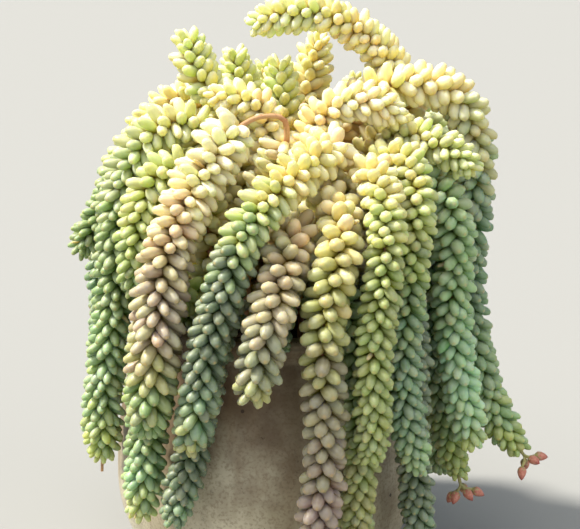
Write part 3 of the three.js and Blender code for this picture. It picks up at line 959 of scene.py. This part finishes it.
# %% Draw the pot's section
POT_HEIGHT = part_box("pot")[1].z
BELLY_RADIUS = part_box("pot")[1].x
BELLY_HEIGHT = 0.084
BELLY_CURVE = 0.102
SHOULDER_CURVE = 0.38
LIP_RADIUS = 0.111
LIP_HEIGHT = 0.015
LIP_ROUND = 0.004
LIP_STEP = 0.0006
LIP_BOTTOM = POT_HEIGHT - LIP_HEIGHT
UNDER_LIP = -60
HOLLOW_DEPTH = 0.0015
HOLLOW_RADIUS = 0.06
FOOT_RING_RADIUS = 0.064
FOOT_EDGE = 0.004
WALL_START = 0.003
WALL_RINGS = 34
WALL = 0.008
FLOOR = 0.01
FLOOR_ROUND = 0.012


def pot_radius(height):
    rise = height - BELLY_HEIGHT
    curve = SHOULDER_CURVE if rise > 0 else BELLY_CURVE
    return BELLY_RADIUS - curve + math.sqrt(curve**2 - rise**2)


def quarter(radius, height, start, steps=4):
    """A quarter circle of the lip round this place, against the clock from a start in degrees."""
    turns = [math.radians(start + 90 * step / steps) for step in range(steps + 1)]
    return [(radius + LIP_ROUND * math.cos(a), height + LIP_ROUND * math.sin(a)) for a in turns]


def pot_section():
    """The wall's section as (radius, height), up the outside and down the inside."""
    heights = np.linspace(WALL_START, LIP_BOTTOM, WALL_RINGS)
    lip_middle = LIP_RADIUS - LIP_ROUND
    mouth_middle = pot_radius(LIP_BOTTOM) - WALL + LIP_ROUND
    floor_radius = pot_radius(FLOOR) - WALL - FLOOR_ROUND
    section = [(0, HOLLOW_DEPTH), (HOLLOW_RADIUS, HOLLOW_DEPTH), (FOOT_RING_RADIUS, 0)]
    section += [(pot_radius(0) - FOOT_EDGE, 0)]
    section += [(pot_radius(height), height) for height in heights]
    section += [(lip_middle, LIP_BOTTOM + LIP_STEP)]
    section += quarter(lip_middle, LIP_BOTTOM + 2 * LIP_ROUND, UNDER_LIP)
    section += quarter(lip_middle, POT_HEIGHT - LIP_ROUND, 0)
    section += quarter(mouth_middle, POT_HEIGHT - LIP_ROUND, 90)
    inside = [height for height in heights[::-3] if height > FLOOR + FLOOR_ROUND]
    section += [(pot_radius(height) - WALL, height) for height in inside]
    section += [(floor_radius, FLOOR), (0, FLOOR)]
    return section


print("corners of the pot's section:", len(pot_section()))

# %% [markdown]
# ## Spinning the section
# The section goes into an empty mesh, and the spin carries it round the axis in small steps.
# Corners that meet are then merged.

# %% Spin the pot
POT_STEPS = 128


def closed(piece):
    """Turns all faces outwards, leaves edit mode and shades the piece smoothly."""
    bpy.ops.mesh.select_all(action="SELECT")
    bpy.ops.mesh.normals_make_consistent(inside=False)
    bpy.ops.object.mode_set(mode="OBJECT")
    return smooth(piece)


def spin_pot():
    bpy.ops.mesh.primitive_plane_add(size=1)
    pot = named("pot_glazed")
    bpy.ops.object.mode_set(mode="EDIT")
    bpy.ops.mesh.delete(type="VERT")
    net = bmesh.from_edit_mesh(pot.data)
    corners = [net.verts.new((radius, 0, height)) for radius, height in pot_section()]
    for start, end in zip(corners, corners[1:]):
        net.edges.new((start, end))
    bmesh.update_edit_mesh(pot.data)
    bpy.ops.mesh.select_all(action="SELECT")
    bpy.ops.mesh.spin(steps=POT_STEPS, angle=2 * math.pi, center=(0, 0, 0), axis=(0, 0, 1))
    bpy.ops.mesh.select_all(action="SELECT")
    bpy.ops.mesh.remove_doubles(threshold=SAME_PLACE)
    return closed(pot)


pot = spin_pot()
print("pot:", len(pot.data.polygons), "faces")

# %% [markdown]
# ## The pot's finish
# It is a cream glaze that has stood outdoors for years: greyer and browner in clouds, with brown
# stains, fine dark specks, pits where the clay shows through, faint turning lines and rain marks.
# Towards the lip it is browner still, partly wear and partly painted shade under the overhanging
# tails. All of it is worked out from the place on the pot, so it holds together all round. A noise
# is stretched where the place is squeezed: down for the rain marks, and round the pot for the
# turning lines.

# %% Pot material
CREAM_GLAZE = linear(220, 212, 184)
DULL_GLAZE = linear(178, 166, 136)
# Browner towards the lip: partly wear, partly painted shade under the overhanging tails.
WORN_AND_SHADED = linear(116, 96, 72)
RAIN_MARK = linear(144, 122, 94)
STAIN = linear(104, 82, 60)
GRAIN = linear(110, 88, 64)
PIT = linear(58, 42, 32)
SQUEEZED_DOWN = (1, 1, 0.12)
SQUEEZED_ROUND = (0.03, 0.03, 1)


def pits_of(net, place, scale, rarity, size):
    """Round pits at random places: 1 inside a pit and 0 outside."""
    cells = net.add("ShaderNodeTexVoronoi", {"feature": "F1"}, Vector=place, Scale=scale)
    luck = net.add("ShaderNodeSeparateColor", Color=cells.outputs["Color"]).outputs[0]
    return net.math("LESS_THAN", cells.outputs["Distance"], net.span(luck, rarity, 1.0, 0.0, size))


def pot_material():
    net = Net("weathered_glaze")
    place = net.place()
    height = net.add("ShaderNodeSeparateXYZ", Vector=place).outputs["Z"]
    downward = net.add("ShaderNodeMapping", Vector=place, Scale=SQUEEZED_DOWN).outputs[0]
    around = net.add("ShaderNodeMapping", Vector=place, Scale=SQUEEZED_ROUND).outputs[0]
    cloud = net.noise(place, 9.0, 5.0, 0.6)
    patchy = net.span(net.noise(place, 34.0, 4.0, 0.6), 0.42, 0.66)
    speck = net.span(net.noise(place, 190.0, 6.0, 0.85), 0.585, 0.645)
    grain = net.noise(place, 420.0, 3.0)
    streak = net.noise(downward, 60.0, 3.0)
    rings = net.noise(around, 160.0)
    speckled = net.math("MULTIPLY", patchy, net.span(height, 0.04, 0.16, 0.25, 1.0))
    specks = net.math("MULTIPLY", speck, speckled)
    pit = net.math("MAXIMUM", specks, pits_of(net, place, 120.0, 0.82, 0.18))
    colour = net.mix(net.span(cloud, 0.34, 0.68), CREAM_GLAZE, DULL_GLAZE)
    upper = net.span(height, 0.05, 0.19)
    # Partly wear and partly painted shade under the tails, stronger towards the lip.
    worn_and_shaded = net.math("MULTIPLY", upper, net.span(cloud, 0.25, 0.6, 0.45, 1.0))
    colour = net.mix(worn_and_shaded, colour, WORN_AND_SHADED)
    colour = net.mix(net.span(streak, 0.46, 0.72, 0.0, 0.5), colour, RAIN_MARK)
    stain = net.math("MULTIPLY", patchy, net.span(height, 0.02, 0.2, 0.1, 0.6))
    colour = net.mix(stain, colour, STAIN)
    colour = net.mix(net.span(grain, 0.46, 0.68, 0.0, 0.4), colour, GRAIN)
    colour = net.mix(net.math("MULTIPLY", pit, 0.8), colour, PIT)
    relief = net.math("MULTIPLY", rings, 0.6)
    relief = net.math("ADD", relief, net.math("MULTIPLY", grain, 0.15))
    relief = net.math("SUBTRACT", relief, net.math("MULTIPLY", pit, 0.5))
    net.bump(relief, 0.35, 0.0012)
    roughness = net.span(cloud, 0.35, 0.7, 0.42, 0.62)
    return net.finish(Base_Color=colour, Roughness=roughness, Specular_IOR_Level=0.45)


pot.data.materials.append(pot_material())
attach(pot, "root")
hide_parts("pot")
print("pot finish:", pot.data.materials[0].name)

# %% [markdown]
# ## The soil
# Potting soil is a crumbly, slightly heaped surface. A fine square grid is drawn in to a disc that
# fits the pot, and a noise pushes it down in places. It closes below, so that it is a body.

# %% Make the soil
SOIL_EDGE = 0.206
SOIL_HEAP = 0.008
SOIL_DEPTH = 0.03
SOIL_GAP = 0.0006
SOIL_CELLS = 80
CRUMB_HEIGHT = 0.004
CRUMB_SIZE = 0.006
CRUMB_LEVEL = 0.9
CRUMB_DETAIL = 3


def push_crumbs(soil):
    texture = bpy.data.textures.new("crumbs", "CLOUDS")
    texture.noise_scale = CRUMB_SIZE
    texture.noise_depth = CRUMB_DETAIL
    only(soil)
    crumbs = soil.modifiers.new("crumbs", "DISPLACE")
    crumbs.texture = texture
    crumbs.texture_coords = "OBJECT"
    crumbs.strength = CRUMB_HEIGHT
    crumbs.mid_level = CRUMB_LEVEL
    bpy.ops.object.modifier_apply(modifier="crumbs")


def make_soil():
    radius = pot_radius(SOIL_EDGE) - WALL - SOIL_GAP
    bpy.ops.mesh.primitive_grid_add(x_subdivisions=SOIL_CELLS, y_subdivisions=SOIL_CELLS, size=2)
    soil = named("soil_crumbly")
    x, y, _ = np.array([point.co for point in soil.data.vertices]).T
    round_x = x * np.sqrt(1 - y * y / 2)
    round_y = y * np.sqrt(1 - x * x / 2)
    heap = SOIL_EDGE + SOIL_HEAP * (1 - round_x**2 - round_y**2)
    places = np.column_stack([round_x * radius, round_y * radius, heap])
    soil.data.vertices.foreach_set("co", places.astype(np.float32).ravel())
    push_crumbs(soil)
    bpy.ops.object.mode_set(mode="EDIT")
    bpy.ops.mesh.select_all(action="SELECT")
    bpy.ops.mesh.extrude_region_move(TRANSFORM_OT_translate={"value": (0, 0, -SOIL_DEPTH)})
    return closed(soil)


soil = make_soil()
print("soil:", len(soil.data.polygons), "faces")

# %% [markdown]
# ## The soil's finish
# Dark brown clods with a few pale grains, and no shine.

# %% Soil material
DARK_CLOD = linear(44, 34, 27)
LIGHT_CLOD = linear(92, 72, 54)
PALE_GRAIN = linear(190, 180, 160)


def soil_material():
    net = Net("potting_soil")
    place = net.place()
    clod = net.noise(place, 160.0, 4.0)
    grain = net.noise(place, 900.0, 2.0)
    colour = net.mix(net.span(clod, 0.35, 0.7), DARK_CLOD, LIGHT_CLOD)
    colour = net.mix(net.span(grain, 0.7, 0.78, 0.0, 0.7), colour, PALE_GRAIN)
    net.bump(net.math("ADD", clod, grain), 0.7, 0.002)
    return net.finish(Base_Color=colour, Roughness=0.95)


soil.data.materials.append(soil_material())
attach(soil, "root")
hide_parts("soil")
print("soil finish:", soil.data.materials[0].name)

# %% [markdown]
# ## The buds
# Two tails end in a spray of buds. Each bud is a pink, pointed drop with five small fleshy sepals
# at its foot, on a thin pale stalk. The drop is shaped from a ball, and the sepals are small copies
# of the leaf. One bud is modelled and the others are copies.

# %% Model a bud
BUD_LENGTH = 0.012
BUD_RADIUS = 0.0039
BUD_SIDES = 10
BUD_PROFILE = [(0.06, 0.6), (0.2, 0.95), (0.42, 1.0), (0.64, 0.8), (0.84, 0.46)]
BUD_SIZE = (2 * BUD_RADIUS, 2 * BUD_RADIUS, BUD_LENGTH)
SEPALS = 5
SEPAL_LENGTH = 0.0052
SEPAL_SHAPE = np.array([0.5, 0.4, 1.0])
SEPAL_ANGLE = math.radians(36)
SEPAL_OUT = 0.0006
ONWARD = np.array([0, 0, 1.0])


def gathered(parts):
    """Joins parts: their points, their faces, and how far along each point lies."""
    points, faces, along = [], [], []
    for part_points, part_faces, part_along in parts:
        first = sum(len(part) for part in points)
        points.append(part_points)
        faces += [[first + corner for corner in face] for face in part_faces]
        along.append(part_along)
    return np.vstack(points), faces, np.concatenate(along)


def model_bud():
    """A bud that stands on the origin along +Z."""
    drop, drop_faces = shaped_ball("bud_pattern", BUD_SIDES, BUD_PROFILE, BUD_SIZE)
    parts = [(drop, drop_faces, drop[:, 2] / BUD_LENGTH)]
    for sepal in range(SEPALS):
        turn = 2 * math.pi * sepal / SEPALS
        out = np.array([math.cos(turn), math.sin(turn), 0])
        axis = out * math.sin(SEPAL_ANGLE) + ONWARD * math.cos(SEPAL_ANGLE)
        side = np.cross(axis, ONWARD)
        turned = np.array([unit(side), unit(np.cross(axis, side)), axis])
        sized = LEAF_POINTS * (SEPAL_SHAPE * SEPAL_LENGTH)
        parts.append((sized @ turned + out * SEPAL_OUT, LEAF_FACES, np.zeros(len(sized))))
    return gathered(parts)


BUD_POINTS, BUD_FACES, BUD_ALONG = model_bud()
print("bud:", len(BUD_POINTS), "points and", len(BUD_FACES), "faces")

# %% [markdown]
# ## The buds' finish
# Salmon pink, darker rose at the point, pale green at the sepals and stalks.

# %% Bud material
SALMON = linear(216, 150, 128)
DEEP_SALMON = linear(200, 122, 104)
SEPAL_GREEN = linear(186, 178, 120)
ROSE_POINT = linear(168, 74, 66)


def bud_material():
    net = Net("bud_skin")
    spot = net.attribute("leaf_place", "Vector")
    along = net.add("ShaderNodeSeparateXYZ", Vector=spot).outputs["X"]
    cloud = net.noise(net.place(), 500.0, 3.0)
    pink = net.mix(net.span(cloud, 0.35, 0.65), SALMON, DEEP_SALMON)
    colour = net.mix(net.span(along, 0.0, 0.25), SEPAL_GREEN, pink)
    colour = net.mix(net.span(along, 0.6, 1.0, 0.0, 0.8), colour, ROSE_POINT)
    net.bump(cloud, 0.2, 0.0004)
    return net.finish(
        Base_Color=colour,
        Roughness=0.45,
        Subsurface_Weight=0.2,
        Subsurface_Radius=(1.0, 0.5, 0.4),
        Subsurface_Scale=0.002,
    )


BUD = bud_material()
print("bud material:", BUD.name)

# %% [markdown]
# ## A stalk
# A stalk is a round rod on a slight bend, about two millimetres thick.

# %% A helper for stalks
STALK_SIDES = 8
STALK_CUTS = 6


def rod(start, end, radius):
    """A round rod on a bend, which leaves its start along +Z. All of it counts as foot."""
    middle = start + ONWARD * np.linalg.norm(end - start) * 0.5
    share = np.linspace(0, 1, STALK_CUTS)[:, None]
    line = start * (1 - share) ** 2 + 2 * middle * share * (1 - share) + end * share**2
    _, across, aside = directions(line)
    turns = np.linspace(0, 2 * math.pi, STALK_SIDES, endpoint=False)[None, :, None]
    ring = across[:, None] * np.cos(turns) + aside[:, None] * np.sin(turns)
    points = (line[:, None] + ring * radius).reshape(-1, 3)
    sides = range(STALK_SIDES)
    last = len(points) - STALK_SIDES
    faces = [list(sides)[::-1], [last + side for side in sides]]
    for near in range(0, last, STALK_SIDES):
        far = near + STALK_SIDES
        for side in sides:
            after = (side + 1) % STALK_SIDES
            faces.append([near + side, near + after, far + after, far + side])
    return points, faces, np.zeros(len(points))


print("sides of a stalk:", STALK_SIDES)

# %% [markdown]
# ## Place the sprays
# A spray goes on from the end of its tail with a short common stalk, which forks. The buds stand
# round it at even turns, on stalks of different lengths.

# %% Make the sprays
FOOT_LENGTH = 0.004
FOOT_THICKER = 1.2
STALK_RADIUS = 0.0012
STALK_LENGTH = 0.009
STALK_VARIES = 0.35
BUD_SPREAD = 0.8


def spray_parts(count, turn):
    """The stalks and buds of a spray that goes on along +Z from its tail's end at the origin."""
    fork = ONWARD * FOOT_LENGTH
    parts = [rod(ONWARD * -TIP_STOP, fork, STALK_RADIUS * FOOT_THICKER)]
    for bud in range(count):
        angle = turn + 2 * math.pi * bud / count
        length = STALK_LENGTH * (1 + STALK_VARIES * math.sin(2 * angle))
        out = np.array([math.sin(angle), -math.cos(angle), 0])
        axis = out * math.sin(BUD_SPREAD) + ONWARD * math.cos(BUD_SPREAD)
        foot = fork + axis * length
        side = unit(np.cross(axis, ONWARD))
        turned = np.array([side, np.cross(axis, side), axis])
        parts.append(rod(fork, foot, STALK_RADIUS))
        parts.append((BUD_POINTS @ turned + foot, BUD_FACES, BUD_ALONG))
    return parts


def make_spray(node, tail, count, turn):
    """One spray as one piece at the end of its tail."""
    points, faces, along = gathered(spray_parts(count, turn))
    end, way = ROUTES[tail]["line"][-1], Vector(ROUTES[tail]["along"][-1])
    turned = np.array(Vector(ONWARD).rotation_difference(way).to_matrix())
    where = np.zeros((len(points), 3))
    where[:, 0] = along
    spray = built(node + "_fine", points @ turned.T + end, faces, where, BUD)
    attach(spray, "root")
    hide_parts(node)


make_spray("right_buds_1", tail="right_tail_1", count=4, turn=0.3)
make_spray("right_buds_2", tail="right_tail_3", count=5, turn=1.1)
print("meshes in the scene:", len(bpy.data.meshes))
